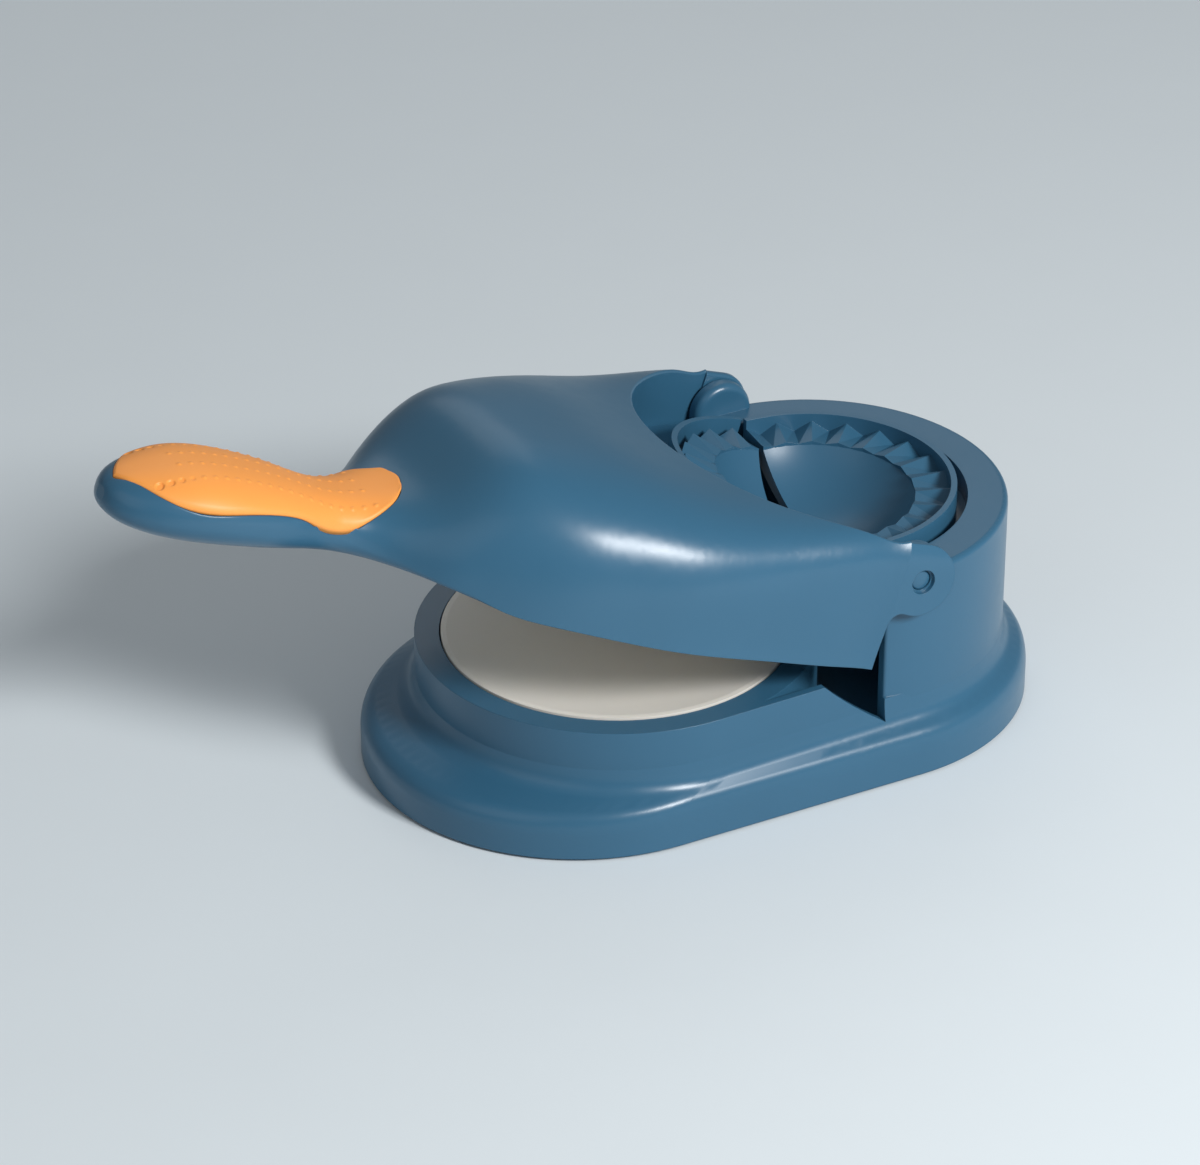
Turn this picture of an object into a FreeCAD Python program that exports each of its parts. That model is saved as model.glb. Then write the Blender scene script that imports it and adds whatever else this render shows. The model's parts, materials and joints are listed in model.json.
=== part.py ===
import FreeCAD, Part
import math
import os

os.makedirs("parts", exist_ok=True)

# A hand press for dumplings. An oval base carries a round pressing dish at the front and a tower at
# the back. A long arm turns on two pins at the tower: lowered, its white plate flattens the dough on
# the dish, and folded right back, its half of the mould closes on the half that sits in the tower.
# Millimetres. The origin is on the table, in the middle of the base. +X is the tower's side.

V = FreeCAD.Vector
ORIGIN = V(0, 0, 0)
UP = V(0, 0, 1)
DOWN = V(0, 0, -1)
ACROSS = V(0, 1, 0)
SIDES = {"left": -1, "right": 1}

# Dish and pedestal
dish_radius = 45.0
dish_gap = 0.4
dish_height = 7.5
dish_proud = 0.4
dish_deck = 2.5
dish_lip = 1.4
dish_depth = 4.0
dish_wall = 2.2
pedestal_rim = 6.4
pedestal_height = 31.6
pedestal_edge_radius = 1.8

# Base outline and lip
base_half_span = 35.1
base_wall = 3.0
rim_lift = 0.8
lip_front = 15.4
lip_side = 4.2
lip_wall_height = 7.5
lip_height = 22.8
lip_width_shares = (0, 0.008, 0.045, 0.14, 0.31, 0.54, 0.76, 0.91, 0.975, 1.02)
lip_rise_shares = (0, 0.08, 0.19, 0.3, 0.38, 0.44, 0.515, 0.635, 0.79, 1.0)

# Tower and hinge
hinge_inset = 1.2
hinge_height = 57.0
tower_inset = 5.6
tower_wall = 3.5
tower_front = 7.7
tower_edge_radius = 1.4
tower_front_radius = 0.9
tower_top_plate = 2.8
well_floor_height = 14.0
lug_radius = 8.5
lug_thickness = 4.0
lug_edge_radius = 1.9
web_wall = 2.0
web_top_reach = 25.8
web_foot_height = 16.4
web_radius = 120.0

# Hinge pins and washers
pin_radius = 2.7
pin_fit = 0.05
pin_seat = 3.5
pin_sink = 1.2
pin_mouth_radius = 3.3
washer_radius = 7.5
washer_thickness = 0.5
washer_play = 0.1

# Mould, measured from the hinge line
mould_deck_drop = 6.0
mould_deck = 2.5
mould_split = 0.5
recess_inset = 10.4
recess_wall = 2.2
ring_wall = 1.6
ring_seat_gap = 0.8
ring_gap = 0.4
groove_gap = 0.3
front_ring_rise = 2.5
rear_ring_rise = 3.0
groove_floor_drop = 4.4
pleat_length = 8.8
bowl_depth = 15.0
bowl_wall = 2.0
bowl_back_wall = 2.5
bowl_hole_gap = 1.2
pleat_count = 12
pleat_gap = 1.2
pleat_inner_swing = 0.4
pleat_outer_swing = 1.5
pleat_root_drop = 2.8
pleat_bed_drop = 0.3

# Arm, measured from the hinge line with the arm lowered
arm_lift = 20.0
arm_reach = 203.0
arm_wall = 3.8
arm_rim_gap = 0.4
arm_crown_rise = 11.4
arm_keel_drop = 1.8
handle_wall = 4.4
pocket_gap = 1.6
pocket_wall = 2.5
pocket_edge_radius = 0.6
lug_room = 0.8
ear_radius = 9.4
ear_edge_radius = 0.9
ear_fillet = 3.5

# Sections along the arm, from the ears to the handle's tip
arm_station_shares = (
    0.031, 0.089, 0.182, 0.251, 0.32, 0.394, 0.468, 0.532, 0.562, 0.591,
    0.645, 0.7, 0.763, 0.837, 0.906, 0.957, 0.984, 0.994, 0.9985,
)
arm_width_shares = (
    1.0, 1.0, 1.0, 1.0, 0.982, 0.916, 0.826, 0.69, 0.61, 0.52,
    0.31, 0.222, 0.274, 0.332, 0.312, 0.235, 0.15, 0.092, 0.035,
)
arm_crown_shares = (
    1.07, 1.02, 0.965, 0.952, 0.975, 1.0, 0.982, 0.895, 0.735, 0.555,
    0.385, 0.34, 0.395, 0.445, 0.436, 0.355, 0.29, 0.245, 0.2,
)
arm_keel_shares = (0, 0, 0, 0, 0, 0, 0, 0, 0, 0, 0.8, 1.0, 0.9, 0.75, 0.85, 0.5, -0.3, -1.1, -2.1)
arm_belt_shares = (0, 0, 0, 0, 0, 0, 0, 0, 0.05, 0.1, 0.3) + 8 * (0.45,)
arm_squareness = (10, 8.5, 6.5, 5, 4, 3.4, 3.1, 3.0, 3.1, 3.0, 2.6, 2.5) + 7 * (2.4,)
first_handle_station = 10
grip_tip_stations = 2
hollow_tip_stations = 4
section_steps = 16
evenest_squareness = 4

# Arm cover and upper plate
arm_cover_sink = 1.4
arm_cover_thickness = 2.6
arm_cover_gap = 0.25
arm_cover_head_sink = 1.2
arm_cover_share = 0.58
plate_inset = 1.6
press_gap = 0.8

# Grip pad
grip_depth = 2.0
grip_proud = 0.5
grip_gap = 0.15
grip_tip_inset = 2.4
grip_tail_share = 0.61
grip_half_width = 17.2
grip_edge_drop = 17.6
grip_length_shares = (0.02, 0.06, 0.115, 0.19, 0.385, 0.62, 0.765, 0.855, 0.92, 0.965, 0.99)
grip_width_shares = (0.2, 0.46, 0.73, 0.92, 1.0, 0.8, 0.72, 0.7, 0.605, 0.45, 0.23)

# Bottom cover and pad
pad_thickness = 2.0
bottom_cover_thickness = 3.0
bottom_gap = 0.3

# Screws and the posts that take them
screw_radius = 1.25
screw_length = 5.0
screw_fit = 0.05
screw_head_radius = 2.6
screw_head_height = 1.7
screw_tip_room = 0.4
head_gap = 0.3
post_radius = 4.0
base_post_inset = 6.5
base_post_height = 9.6
dish_post_radius = 28.0
dish_post_count = 3
mould_screw_inset = 2.3
mould_screw_spread = 60.0
arm_front_post_share = 0.53
arm_front_post_y = 20.0
arm_rear_post_x = 16.0
arm_rear_post_y = 44.0
plate_screw_radius = 26.0
plate_screw_count = 3

overrun = 5.0
same_place = 0.001
near_wall = 0.01

# Sizes that follow from the ones above: the base
dish_top_height = pedestal_height + dish_proud
dish_seat_height = dish_top_height - dish_height
pedestal_radius = dish_radius + dish_gap + pedestal_rim
base_end_radius = pedestal_radius + lip_side
base_length = 2 * (base_half_span + base_end_radius)
pedestal_x = lip_front + pedestal_radius - base_length / 2
hinge_x = base_half_span - hinge_inset
tower_radius = base_end_radius - tower_inset
plate_reach = hinge_x - pedestal_x
bottom_cover_base = pad_thickness
bottom_cover_top = bottom_cover_base + bottom_cover_thickness

# The mould
pitch = 180.0 / pleat_count
deck_top = -mould_deck_drop
deck_bottom = deck_top - mould_deck
recess_radius = tower_radius - recess_inset
front_ring_radius = recess_radius - ring_seat_gap
rear_ring_radius = front_ring_radius - ring_wall - ring_gap
groove_radius = rear_ring_radius - ring_wall - groove_gap
bowl_radius = groove_radius - pleat_length
bowl_back_radius = bowl_radius + bowl_back_wall
mould_screw_radius = groove_radius - mould_screw_inset

# The arm
ear_inner = tower_radius + washer_thickness + washer_play
arm_half_width = ear_inner + arm_wall
arm_rim_drop = hinge_height - pedestal_height - arm_rim_gap
arm_crown_height = arm_rim_drop + arm_crown_rise
arm_cover_bottom = arm_cover_sink - arm_rim_drop
arm_cover_top = arm_cover_bottom + arm_cover_thickness
arm_cover_reach = arm_reach * arm_cover_share
arm_front_post_x = arm_reach * arm_front_post_share
arm_top = arm_crown_height
arm_back = lug_radius + lug_room
pocket_radius = tower_radius + pocket_gap
upper_plate_radius = dish_radius - dish_lip - plate_inset
grip_front_reach = arm_reach - grip_tip_inset
grip_back_reach = arm_reach * grip_tail_share


def disc(radius, low, high, x=0, y=0):
    """An upright cylinder between two heights."""
    return Part.makeCylinder(radius, high - low, V(x, y, low), UP)


def rod(radius, near, far, x=0, z=0):
    """A cylinder along Y between two places."""
    return Part.makeCylinder(radius, far - near, V(x, near, z), ACROSS)


def block(x0, x1, y0, y1, z0, z1):
    """A box between two corners."""
    return Part.makeBox(x1 - x0, y1 - y0, z1 - z0, V(x0, y0, z0))


def sag(radius, depth, at):
    """Height above the lowest point of a round bowl, at a distance from its middle."""
    ball = (radius ** 2 + depth ** 2) / (2 * depth)
    return ball - math.sqrt(ball ** 2 - at ** 2)


def turned(points):
    """A solid of revolution about Z. Each place is a point, or a pair that an arc passes and meets."""
    edges = []
    here = points[0]
    for place in points[1:] + points[:1]:
        if isinstance(place, tuple):
            middle, place = place
            edges.append(Part.Arc(here, middle, place).toShape())
        else:
            edges.append(Part.LineSegment(here, place).toShape())
        here = place
    return Part.Face(Part.Wire(edges)).revolve(ORIGIN, UP, 360)


def oval(front_x, front_radius, rear_x, rear_radius, z):
    """The outline of two round ends and the straight sides that touch both."""
    lean = math.asin((front_radius - rear_radius) / (rear_x - front_x))
    along, out = math.sin(lean), math.cos(lean)
    a = V(front_x + front_radius * along, front_radius * out, z)
    b = V(rear_x + rear_radius * along, rear_radius * out, z)
    c = V(b.x, -b.y, z)
    d = V(a.x, -a.y, z)
    sides = [
        Part.LineSegment(a, b).toShape(),
        Part.Arc(b, V(rear_x + rear_radius, 0, z), c).toShape(),
        Part.LineSegment(c, d).toShape(),
        Part.Arc(d, V(front_x - front_radius, 0, z), a).toShape(),
    ]
    return Part.Wire(sides)


def base_oval(inset, z):
    """The base's outline, drawn in by an inset."""
    radius = base_end_radius - inset
    return oval(-base_half_span, radius, base_half_span, radius, z)


def body_oval(inset, z):
    """The outline round the pedestal and the tower, drawn in by an inset."""
    return oval(pedestal_x, pedestal_radius - inset, hinge_x, tower_radius - inset, z)


def raised(wire, high):
    """The upright prism on a level outline, up to a height."""
    low = wire.BoundBox.ZMin
    return Part.Face(wire).extrude(V(0, 0, high - low))


def join(shapes):
    """One solid from several that overlap."""
    return shapes[0].fuse(shapes[1:])


def group(shapes):
    return Part.makeCompound(shapes)


def screw(place, way):
    """A pan-head screw: its head's seat is at the place, and its point lies the given way."""
    back = V(-way.x, -way.y, -way.z)
    head = Part.makeCylinder(screw_head_radius, screw_head_height, place, back)
    shank = Part.makeCylinder(screw_radius, screw_length, place, way)
    return head.fuse(shank).removeSplitter()


def screw_hole(place, way):
    """The hole for a screw's shank, open at the head's side."""
    start = place - way * overrun
    depth = overrun + screw_length + screw_tip_room
    return Part.makeCylinder(screw_radius + screw_fit, depth, start, way)


def screw_pocket(place, way, depth):
    """The round pocket that takes a screw's head."""
    return Part.makeCylinder(screw_head_radius + head_gap, depth, place, V(-way.x, -way.y, -way.z))


def around(radius, count, height, x=0):
    """Evenly spaced places on a level circle."""
    turns = [2 * math.pi * step / count for step in range(count)]
    return [V(x + radius * math.cos(turn), radius * math.sin(turn), height) for turn in turns]


def on_arm(shape):
    """Lifts a shape that is drawn on the lowered arm, and puts it at the hinge."""
    placed = shape.copy()
    placed.rotate(ORIGIN, ACROSS, arm_lift)
    placed.translate(V(hinge_x, 0, hinge_height))
    return placed


def at_hinge(shape):
    """Puts a shape that is drawn about the hinge line into the base."""
    placed = shape.copy()
    placed.translate(V(hinge_x, 0, hinge_height))
    return placed


def base_screw_places():
    """Seats of the bottom cover's screw heads, all round the base."""
    reach = base_end_radius - base_post_inset
    height = bottom_cover_base + screw_head_height
    ends = [V(side * (base_half_span + reach), 0, height) for side in (-1, 1)]
    flanks = [V(x, y, height) for x in (-base_half_span, base_half_span) for y in (-reach, reach)]
    return ends + flanks


def mould_screw_places(side):
    """Seats of a mould's screw heads under its deck. The side is -1 on the arm and 1 on the tower."""
    turns = [math.radians(mould_screw_spread * step) for step in (-1, 0, 1)]
    return [
        V(side * mould_screw_radius * math.cos(turn), mould_screw_radius * math.sin(turn), deck_bottom)
        for turn in turns
    ]


def mix(start, end, share):
    return start + (end - start) * share


def lip():
    """The base's low skirt: an upright wall, a round shoulder and a hollow curve that meets the body."""
    outlines = []
    for width_share, rise_share in zip(lip_width_shares, lip_rise_shares):
        front_x = mix(-base_half_span, pedestal_x, width_share)
        front_radius = mix(base_end_radius, pedestal_radius, width_share)
        rear_x = mix(base_half_span, hinge_x, width_share)
        rear_radius = mix(base_end_radius, tower_radius, width_share)
        height = mix(lip_wall_height, lip_height, rise_share)
        outlines.append(oval(front_x, front_radius, rear_x, rear_radius, height))
    wall = raised(base_oval(0, rim_lift), lip_wall_height)
    return join([wall, Part.makeLoft(outlines, True, False)])


def tower():
    """The tower's outer form: a round drum with a rounded rim, cut flat at the front."""
    drum = disc(tower_radius, rim_lift, hinge_height, hinge_x)
    rim = [edge for edge in drum.Edges if top_circle(edge, hinge_height)]
    drum = drum.makeFillet(tower_edge_radius, rim)
    front = hinge_x - tower_front
    back = hinge_x + tower_radius + overrun
    reach = tower_radius + overrun
    shape = drum.common(block(front, back, -reach, reach, 0, hinge_height + overrun))
    return shape.makeFillet(tower_front_radius, [edge for edge in shape.Edges if upright(edge, front)])


def top_circle(edge, height):
    """Whether an edge is a whole circle at a height."""
    return len(edge.Vertexes) == 1 and abs(edge.Vertexes[0].Z - height) < same_place


def upright(edge, x):
    """Whether an edge stands upright at a place along X."""
    return all(abs(point.x - x) < same_place for point in edge.discretize(section_steps))


def side_circle(edge, place):
    """Whether an edge is a whole circle at a place along Y."""
    return len(edge.Vertexes) == 1 and abs(edge.Vertexes[0].Y - place) < same_place


def lug(side):
    """The round ear of the tower on one side, with its inner rim rounded off."""
    inner = tower_radius - lug_thickness
    shape = rod(lug_radius, inner, tower_radius, hinge_x, hinge_height)
    shape = shape.makeFillet(lug_edge_radius, [edge for edge in shape.Edges if side_circle(edge, inner)])
    return shape if side > 0 else shape.mirror(ORIGIN, ACROSS)


def skirt():
    """The lip and the walls between the pedestal and the tower, whose top edges fall in a hollow curve."""
    wall = raised(body_oval(0, rim_lift), pedestal_height)
    top = V(-web_top_reach, 0, pedestal_height)
    foot = V(-tower_front, 0, web_foot_height)
    middle = (top + foot) * 0.5
    half = (foot - top).Length / 2
    across = V(top.z - foot.z, 0, foot.x - top.x).normalize()
    centre = middle + across * math.sqrt(web_radius ** 2 - half ** 2)
    reach = base_end_radius + overrun
    notch = rod(web_radius, -reach, reach, hinge_x + centre.x, centre.z)
    between = block(hinge_x + top.x, hinge_x + foot.x, -reach, reach, web_foot_height, hinge_height)
    notch = notch.common(between)
    behind = block(hinge_x + foot.x, hinge_x + base_length, -reach, reach, web_foot_height, hinge_height)
    return join([lip().cut(notch), wall.cut(notch.fuse(behind))])


def base_shell():
    pedestal = disc(pedestal_radius, rim_lift, pedestal_height, pedestal_x)
    rim = [edge for edge in pedestal.Edges if top_circle(edge, pedestal_height)]
    pedestal = pedestal.makeFillet(pedestal_edge_radius, rim)
    outer = join([skirt(), pedestal, tower(), lug(-1), lug(1)])

    # Hollow under the lip, the pedestal and the tower, open below
    under_lip = raised(base_oval(base_wall, 0), lip_wall_height)
    under_dish = disc(pedestal_radius - base_wall, 0, dish_seat_height - dish_deck, pedestal_x)
    under_well = raised(body_oval(base_wall, 0), well_floor_height - base_wall)

    # The dish's seat, and the well that runs from the pedestal into the tower
    seat = disc(dish_radius + dish_gap, dish_seat_height, dish_top_height + overrun, pedestal_x)
    drum = disc(pedestal_radius, 0, pedestal_height, pedestal_x)
    tower_room = raised(body_oval(tower_wall, well_floor_height), hinge_height + deck_bottom)
    web_room = raised(body_oval(web_wall, well_floor_height), hinge_height)
    front = hinge_x - tower_front
    web_room = web_room.common(block(pedestal_x, front, -tower_radius, tower_radius, 0, hinge_height))
    well = tower_room.fuse(web_room).cut(drum)

    # The mould's recess in the tower's top, its deck's hole and the hollow round the recess. The deck
    # starts at the hinge line, so that the arm's half of the mould can come down in front of it.
    recess = disc(recess_radius, hinge_height + deck_top, hinge_height + overrun, hinge_x)
    hole = disc(bowl_back_radius + bowl_hole_gap, well_floor_height, hinge_height, hinge_x)
    deck_front = disc(recess_radius, hinge_height + deck_bottom - overrun, hinge_height, hinge_x)
    before_hinge = block(pedestal_x, hinge_x, -recess_radius, recess_radius, 0, hinge_height)
    hole = hole.fuse(deck_front.common(before_hinge))
    ring_top = hinge_height - tower_top_plate
    hollow = disc(tower_radius - tower_wall, hinge_height + deck_bottom, ring_top, hinge_x)
    hollow = hollow.cut(disc(recess_radius + recess_wall, 0, hinge_height, hinge_x))

    shell = outer.cut([under_lip, under_dish, under_well, seat, well, recess, hole, hollow])
    for spot in base_screw_places():
        post = disc(post_radius, bottom_cover_top, base_post_height, spot.x, spot.y)
        shell = shell.fuse(post.common(outer))

    cuts = [screw_hole(spot, UP) for spot in base_screw_places()]
    cuts += [screw_hole(spot, UP) for spot in dish_screw_places()]
    cuts += [at_hinge(screw_hole(spot, UP)) for spot in mould_screw_places(1)]
    for side in SIDES.values():
        bore = rod(pin_radius, tower_radius - pin_seat, tower_radius + overrun, hinge_x, hinge_height)
        cuts.append(bore if side > 0 else bore.mirror(ORIGIN, ACROSS))
    return shell.cut(cuts).removeSplitter()


def bottom_cover():
    plate = raised(base_oval(base_wall + bottom_gap, bottom_cover_base), bottom_cover_top)
    cuts = [screw_hole(spot, UP) for spot in base_screw_places()]
    cuts += [screw_pocket(spot, UP, screw_head_height + overrun) for spot in base_screw_places()]
    return plate.cut(cuts)


def non_slip_pad():
    return raised(base_oval(base_wall + bottom_gap, 0), pad_thickness)


def dish_screw_places():
    return around(dish_post_radius, dish_post_count, dish_seat_height - dish_deck, pedestal_x)


def press_plate():
    """The white dish: a shallow bowl on a skirt, with posts for its screws."""
    bowl = dish_radius - dish_lip
    low = dish_top_height - dish_depth
    skirt = dish_radius - dish_wall
    under = sag(bowl, dish_depth, skirt)
    profile = [
        V(0, 0, low),
        (V(bowl / 2, 0, low + sag(bowl, dish_depth, bowl / 2)), V(bowl, 0, dish_top_height)),
        V(dish_radius, 0, dish_top_height),
        V(dish_radius, 0, dish_seat_height),
        V(skirt, 0, dish_seat_height),
        V(skirt, 0, low + under - dish_wall),
        (V(skirt / 2, 0, low + sag(bowl, dish_depth, skirt / 2) - dish_wall), V(0, 0, low - dish_wall)),
    ]
    dish = turned(profile)
    dish.translate(V(pedestal_x, 0, 0))
    posts = [disc(post_radius, dish_seat_height, low, spot.x, spot.y) for spot in dish_screw_places()]
    return join([dish] + posts).cut([screw_hole(spot, UP) for spot in dish_screw_places()])


def upper_press_plate():
    """The white plate under the arm. Its domed face follows the dish at an even gap."""
    bowl = dish_radius - dish_lip
    low = dish_top_height - dish_depth - hinge_height + press_gap
    edge = low + sag(bowl, dish_depth, upper_plate_radius)
    half = upper_plate_radius / 2
    profile = [
        V(0, 0, arm_cover_bottom),
        V(upper_plate_radius, 0, arm_cover_bottom),
        V(upper_plate_radius, 0, edge),
        (V(half, 0, low + sag(bowl, dish_depth, half)), V(0, 0, low)),
    ]
    plate = turned(profile)
    plate.translate(V(-plate_reach, 0, 0))
    return on_arm(plate.cut([screw_hole(spot, DOWN) for spot in plate_screw_places()]))


def plate_screw_places():
    return around(plate_screw_radius, plate_screw_count, arm_cover_top, -plate_reach)


def pleat_point(step, radius, height):
    """A place on the pleats: each whole step is half a pleat round from the hinge line."""
    turn = math.radians(step * pitch / 2)
    return V(radius * math.sin(turn), radius * math.cos(turn), height)


def pleats(outer_radius, first_way):
    """The ring of radial folds that grow towards the rim. The first way is 1 to start on a ridge."""
    root = -pleat_root_drop
    steps = range(2 * pleat_count + 1)
    ways = [first_way * (-1) ** step for step in steps]
    inner_top = [pleat_point(s, bowl_radius, ways[s] * pleat_inner_swing - pleat_gap / 2) for s in steps]
    outer_top = [pleat_point(s, outer_radius, ways[s] * pleat_outer_swing - pleat_gap / 2) for s in steps]
    inner_low = [pleat_point(s, bowl_radius, root) for s in steps]
    outer_low = [pleat_point(s, outer_radius, root) for s in steps]
    panels = []
    for s in steps[:-1]:
        panels.append([inner_top[s], outer_top[s], outer_top[s + 1]])
        panels.append([inner_top[s], outer_top[s + 1], inner_top[s + 1]])
        panels.append([inner_low[s], inner_low[s + 1], inner_top[s + 1], inner_top[s]])
        panels.append([outer_low[s], outer_top[s], outer_top[s + 1], outer_low[s + 1]])
    for s in (steps[0], steps[-1]):
        panels.append([inner_low[s], inner_top[s], outer_top[s], outer_low[s]])
    panels.append(inner_low + outer_low[::-1])
    faces = [Part.Face(Part.makePolygon(corners + corners[:1])) for corners in panels]
    return Part.makeSolid(Part.makeShell(faces))


def half_mould(profile, pleat_radius, first_way):
    """Half of a turned bowl with its pleats, on the +X side of the hinge line."""
    reach = recess_radius + overrun
    half = block(mould_split, reach, -reach, reach, -bowl_depth - overrun, overrun)
    return turned(profile).common(half).fuse(pleats(pleat_radius, first_way).common(half))


def bowl_profile(ring):
    """A mould's outline from the bowl's middle to the pleats, round its ring and back underneath."""
    edge = -pleat_gap / 2 - pleat_inner_swing - pleat_bed_drop
    depth = bowl_depth + edge
    back_depth = bowl_depth + bowl_wall - mould_deck_drop
    half = bowl_radius / 2
    back_half = bowl_back_radius / 2
    inside = [
        V(0, 0, -bowl_depth),
        (V(half, 0, sag(bowl_radius, depth, half) - bowl_depth), V(bowl_radius, 0, edge)),
    ]
    back_middle = V(back_half, 0, sag(bowl_back_radius, back_depth, back_half) - bowl_depth - bowl_wall)
    outside = [
        V(bowl_back_radius, 0, -mould_deck_drop),
        (back_middle, V(0, 0, -bowl_depth - bowl_wall)),
    ]
    return inside + ring + outside


def rear_mould():
    inner = rear_ring_radius - ring_wall
    bed = -pleat_gap / 2 - pleat_outer_swing - pleat_bed_drop
    ring = [
        V(inner, 0, bed),
        V(inner, 0, rear_ring_rise),
        V(rear_ring_radius, 0, rear_ring_rise),
        V(rear_ring_radius, 0, -mould_deck_drop),
    ]
    shape = half_mould(bowl_profile(ring), (inner + rear_ring_radius) / 2, 1)
    return at_hinge(shape.cut([screw_hole(spot, UP) for spot in mould_screw_places(1)]))


def front_mould():
    inner = front_ring_radius - ring_wall
    bed = -pleat_gap / 2 - pleat_outer_swing - pleat_bed_drop
    ring = [
        V(groove_radius, 0, bed),
        V(groove_radius, 0, -groove_floor_drop),
        V(inner, 0, -groove_floor_drop),
        V(inner, 0, front_ring_rise),
        V(front_ring_radius, 0, front_ring_rise),
        V(front_ring_radius, 0, -mould_deck_drop),
    ]
    shape = half_mould(bowl_profile(ring), groove_radius, -1)
    shape.rotate(ORIGIN, UP, 180)
    return on_arm(shape.cut([screw_hole(spot, UP) for spot in mould_screw_places(-1)]))


def half_loop(half_width, middle, end, squareness, flip):
    """Half of a squared-off ellipse, from one side over its end to the other side."""
    evenness = min(squareness, evenest_squareness)
    points = []
    for step in range(section_steps + 1):
        turn = math.pi * step / section_steps
        across = math.copysign(abs(math.cos(turn)) ** (2 / evenness), math.cos(turn))
        along = math.sin(turn) ** (2 / evenness) if 0 < step < section_steps else 0
        size = (abs(across) ** squareness + along ** squareness) ** (1 / squareness)
        points.append((flip * half_width * across / size, middle + (end - middle) * along / size))
    return points


def arm_section(station, inset, handle_inset, rim_drop):
    """One cross-section of the arm's form, drawn in by an inset."""
    x = -arm_reach * arm_station_shares[station]
    on_handle = station >= first_handle_station
    skin = handle_inset if on_handle else inset
    half_width = arm_half_width * arm_width_shares[station] - skin
    top = arm_crown_height * arm_crown_shares[station] - arm_rim_drop - skin
    bottom = -arm_rim_drop - arm_keel_drop * arm_keel_shares[station]
    bottom = bottom + skin if on_handle else bottom - rim_drop
    belt = bottom + (top - bottom) * arm_belt_shares[station]
    edges = []
    for end, flip in ((top, 1), (bottom, -1)):
        loop = half_loop(half_width, belt, end, arm_squareness[station], flip)
        points = [V(x, y, z) for y, z in loop]
        if belt == end:
            edges.append(Part.LineSegment(points[0], points[-1]).toShape())
        else:
            curve = Part.BSplineCurve()
            curve.interpolate(points)
            edges.append(curve.toShape())
    return Part.Wire(edges)


def arm_form(inset=0, handle_inset=0, rim_drop=0, stations_left_out=0):
    """The arm's form from the ears to the tip, drawn in by an inset."""
    stations = range(len(arm_station_shares) - stations_left_out)
    return Part.makeLoft([arm_section(s, inset, handle_inset, rim_drop) for s in stations], True, False)


def ear(side):
    """The round end of one leg. It carries on the leg's curved side, and has a small fillet under it."""
    rear = -arm_reach * arm_station_shares[0]
    leg_side = Part.Face(arm_section(0, 0, 0, 0)).extrude(V(ear_radius - rear, 0, 0))

    # The fillet touches the ear's circle and the leg's upright rear edge
    middle_x = rear + ear_fillet
    span = ear_radius + ear_fillet
    middle_z = -math.sqrt(span ** 2 - middle_x ** 2)
    share = ear_radius / span
    touch = V(middle_x * share, ear_inner, middle_z * share)
    low = V(rear, ear_inner, middle_z)
    lean = math.atan2(touch.z - middle_z, touch.x - middle_x)
    halfway = (lean + math.pi) / 2
    bend_x = middle_x + ear_fillet * math.cos(halfway)
    bend_z = middle_z + ear_fillet * math.sin(halfway)
    corner = V(rear, ear_inner, ear_radius)
    top = V(0, ear_inner, ear_radius)
    sides = [
        Part.LineSegment(corner, top).toShape(),
        Part.Arc(top, V(ear_radius, ear_inner, 0), touch).toShape(),
        Part.Arc(touch, V(bend_x, ear_inner, bend_z), low).toShape(),
        Part.LineSegment(low, corner).toShape(),
    ]
    plate = Part.Face(Part.Wire(sides)).extrude(V(0, arm_wall + overrun, 0))
    rim = [edge for edge in plate.Edges if inner_rim(edge) and not upright(edge, rear)]
    shape = plate.makeFillet(ear_edge_radius, rim).common(leg_side)
    return shape if side > 0 else shape.mirror(ORIGIN, ACROSS)


def inner_rim(edge):
    """Whether an edge lies on the inner face of an ear."""
    return all(abs(point.y - ear_inner) < same_place for point in edge.discretize(section_steps))


def arm_post_places():
    """Seats of the arm cover's screw heads."""
    seat = arm_cover_bottom + arm_cover_head_sink
    front = [V(-arm_front_post_x, side * arm_front_post_y, seat) for side in SIDES.values()]
    rear = [V(-arm_rear_post_x, side * arm_rear_post_y, seat) for side in SIDES.values()]
    return front + rear


def grip_outline(grow):
    """The grip pad's outline seen from above, grown by a gap."""
    length = grip_front_reach - grip_back_reach
    half_width = grip_half_width + grow
    flank = [
        V(-grip_front_reach + length * along, half_width * out, -grip_edge_drop)
        for along, out in zip(grip_length_shares, grip_width_shares)
    ]
    other = [V(point.x, -point.y, point.z) for point in reversed(flank)]
    tip = V(-grip_front_reach - grow, 0, -grip_edge_drop)
    tail = V(-grip_back_reach + grow, 0, -grip_edge_drop)
    curve = Part.BSplineCurve()
    curve.interpolate([tip] + flank + [tail] + other, PeriodicFlag=True)
    return Part.Wire([curve.toShape()])


def grip_space(grow):
    """The upright space over the grip's outline, above its lower edge."""
    return raised(grip_outline(grow), arm_top)


def grip_pad():
    raised_form = arm_form(-grip_proud, -grip_proud)
    floor = arm_form(grip_depth, grip_depth, 0, grip_tip_stations)
    return on_arm(raised_form.common(grip_space(0)).cut(floor))


def arm_hollow():
    """The space inside the arm, open below, with a step where the cover ends."""
    inside = arm_form(arm_wall, handle_wall, overrun, hollow_tip_stations)
    reach = arm_half_width + overrun
    step = block(-arm_reach, -arm_cover_reach, -reach, reach, -arm_reach, arm_cover_top)
    return inside.cut(step)


def round_pocket_mouth(edge):
    """Whether an edge is the long one where the arm's top meets the round pocket."""
    points = edge.discretize(section_steps)
    strays = [abs(math.hypot(point.x, point.y) - pocket_radius) for point in points]
    above = min(point.z for point in points) > 0
    return max(strays) < near_wall and above and edge.Length > pocket_radius


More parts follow.
